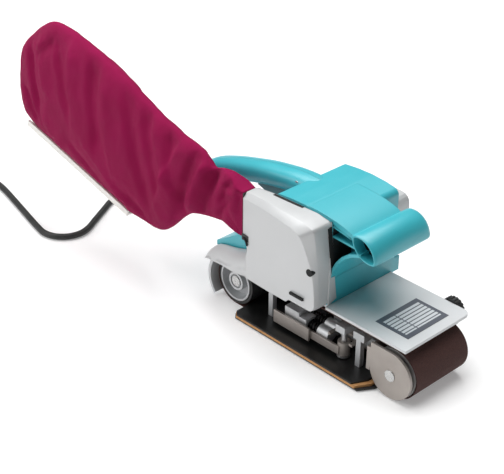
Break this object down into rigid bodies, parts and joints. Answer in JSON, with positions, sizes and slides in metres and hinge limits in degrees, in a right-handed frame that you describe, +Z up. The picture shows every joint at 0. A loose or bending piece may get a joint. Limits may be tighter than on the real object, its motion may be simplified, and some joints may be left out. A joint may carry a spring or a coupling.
{
  "type": "belt_sander",
  "caption": "Handheld belt sander with a transverse motor, rear D-handle, front grip, tension lever, dust fan and dust bag; its belt runs over a rubber-tyred drum and an idler roller",
  "frame": {"origin": "on the working face under the rear roller axis, at the middle of the belt", "axes": "+X to the front roller, +Y to the drive side, +Z up"},
  "size_m": [0.7558, 0.2772, 0.241],
  "materials": {
    "cast_aluminium": "cast, bead-blasted",
    "cast_silver": "satin silver paint",
    "black_steel": "black finish",
    "cork": "pressed cork",
    "black_rubber": "matte",
    "screw_steel": "zinc plated",
    "plate_grey": "anodised, printed rows",
    "teal_plastic": "moulded, semi-gloss",
    "black_plastic": "fine texture",
    "grey_plastic": "fine texture",
    "lamination": "stacked sheet",
    "copper": "enamelled",
    "bearing_steel": "ground",
    "brass_part": "stamped",
    "carbon": "pressed carbon",
    "shaft_steel": "ground",
    "white_plastic": "moulded",
    "tyre_rubber": "ribbed",
    "gear_iron": "cut teeth",
    "abrasive_cloth": "coated abrasive cloth",
    "beige_steel": "stamped, passivated",
    "spring_steel": "oiled wire",
    "roller_aluminium": "turned",
    "red_cloth": "woven",
    "ivory_plastic": "smooth",
    "cord_rubber": "smooth"
  },
  "bodies": {
    "frame": {"main_frame": "cast_aluminium", "rear_guard": "cast_aluminium", "platen_plate": "black_steel", "platen_cork": "cork", "platen_slide": "black_rubber", "platen_screws": "screw_steel", "front_cover": "cast_aluminium", "nameplate": "plate_grey", "fan_housing": "cast_silver", "fan_backplate": "cast_aluminium", "fan_housing_screws": "screw_steel", "nozzle_rim": "black_plastic", "motor_housing": "teal_plastic", "front_grip": "teal_plastic", "rear_skirt": "teal_plastic", "handle_right": "teal_plastic", "handle_left": "teal_plastic", "handle_screws": "screw_steel", "switch_body": "black_plastic", "drive_cover": "cast_silver", "drive_cover_screws": "screw_steel", "stator_core": "lamination", "stator_windings": "copper", "motor_bearings": "bearing_steel", "brush_holders": "brass_part", "carbon_brushes": "carbon", "gear_bearings": "bearing_steel", "timing_belt": "black_rubber", "abrasive_belt": "abrasive_cloth", "guide_plate": "beige_steel", "tension_springs": "spring_steel", "lever_pivot": "screw_steel", "cord_guard": "black_rubber", "power_cord": "cord_rubber", "cord_coil": "cord_rubber", "plug": "black_plastic"},
    "roller_carriage": {"carriage": "cast_aluminium", "link_plate": "beige_steel", "yoke_pin": "shaft_steel"},
    "roller_yoke": {"idler_bracket": "beige_steel", "idler_shaft": "shaft_steel"},
    "front_roller": {"idler_roller": "roller_aluminium"},
    "drive_roller": {"drive_shaft": "shaft_steel", "drive_drum": "cast_aluminium", "drive_tyre": "tyre_rubber", "drive_gear": "gear_iron"},
    "pinion": {"pinion_shaft": "shaft_steel", "timing_pulley": "shaft_steel"},
    "motor_rotor": {"rotor_shaft": "shaft_steel", "armature_core": "lamination", "commutator": "copper", "cooling_fan": "white_plastic", "dust_fan": "cast_aluminium", "motor_pulley": "shaft_steel"},
    "tension_arm": {"tension_lever": "beige_steel"},
    "tracking_screw": {"tracking_knob": "black_plastic"},
    "switch_trigger": {"trigger": "grey_plastic"},
    "switch_lock": {"lock_button": "black_plastic"},
    "bag": {"dust_bag": "red_cloth"},
    "rail": {"bag_rail": "ivory_plastic"}
  },
  "joints": [
    {"name": "drive_roller_spin", "type": "hinge", "parent": "frame", "child": "drive_roller", "pos_m": [0, 0, 0.0269], "axis": [0, 1, 0], "continuous": true},
    {"name": "pinion_spin", "type": "hinge", "parent": "frame", "child": "pinion", "pos_m": [0.012, 0, 0.0544], "axis": [0, 1, 0], "continuous": true},
    {"name": "motor_spin", "type": "hinge", "parent": "frame", "child": "motor_rotor", "pos_m": [0.098, 0, 0.112], "axis": [0, 1, 0], "continuous": true},
    {"name": "carriage_slide", "type": "slide", "parent": "frame", "child": "roller_carriage", "axis": [-1, 0, 0], "range_m": [0, 0.0036]},
    {"name": "tension_arm_swing", "type": "hinge", "parent": "frame", "child": "tension_arm", "pos_m": [0.152, -0.033, 0], "axis": [0, 0, 1], "range_deg": [0, 100]},
    {"name": "tracking_tilt", "type": "hinge", "parent": "roller_carriage", "child": "roller_yoke", "pos_m": [0.184, 0, 0], "axis": [0, 0, 1], "range_deg": [-1, 1]},
    {"name": "tracking_turn", "type": "hinge", "parent": "frame", "child": "tracking_screw", "pos_m": [0.214, 0, 0.055], "axis": [0, 1, 0], "range_deg": [-90, 90]},
    {"name": "front_roller_spin", "type": "hinge", "parent": "roller_yoke", "child": "front_roller", "pos_m": [0.22206, 0, 0.0269], "axis": [0, 1, 0], "continuous": true},
    {"name": "trigger_press", "type": "hinge", "parent": "frame", "child": "switch_trigger", "pos_m": [0.048, 0, 0.134], "axis": [0, 1, 0], "range_deg": [0, 5], "stiffness_Nm_per_rad": 2},
    {"name": "lock_press", "type": "slide", "parent": "frame", "child": "switch_lock", "axis": [0, -1, 0], "range_m": [0, 0.0012], "stiffness_N_per_m": 800},
    {"name": "bag_pull", "type": "slide", "parent": "frame", "child": "bag", "axis": [-1, 0, 0], "range_m": [0, 0.03]},
    {"name": "rail_slide", "type": "slide", "parent": "bag", "child": "rail", "axis": [-0.9689, 0, 0.2474], "range_m": [0, 0.15]}
  ],
  "couplings": [
    {"joint": "pinion_spin", "follows": "drive_roller_spin", "ratio": -3.5},
    {"joint": "motor_spin", "follows": "drive_roller_spin", "ratio": -7.875},
    {"joint": "front_roller_spin", "follows": "drive_roller_spin", "ratio": 1},
    {"joint": "carriage_slide", "follows": "tension_arm_swing", "m_per_rad": 0.002063},
    {"joint": "tracking_tilt", "follows": "tracking_turn", "ratio": 0.011111}
  ]
}
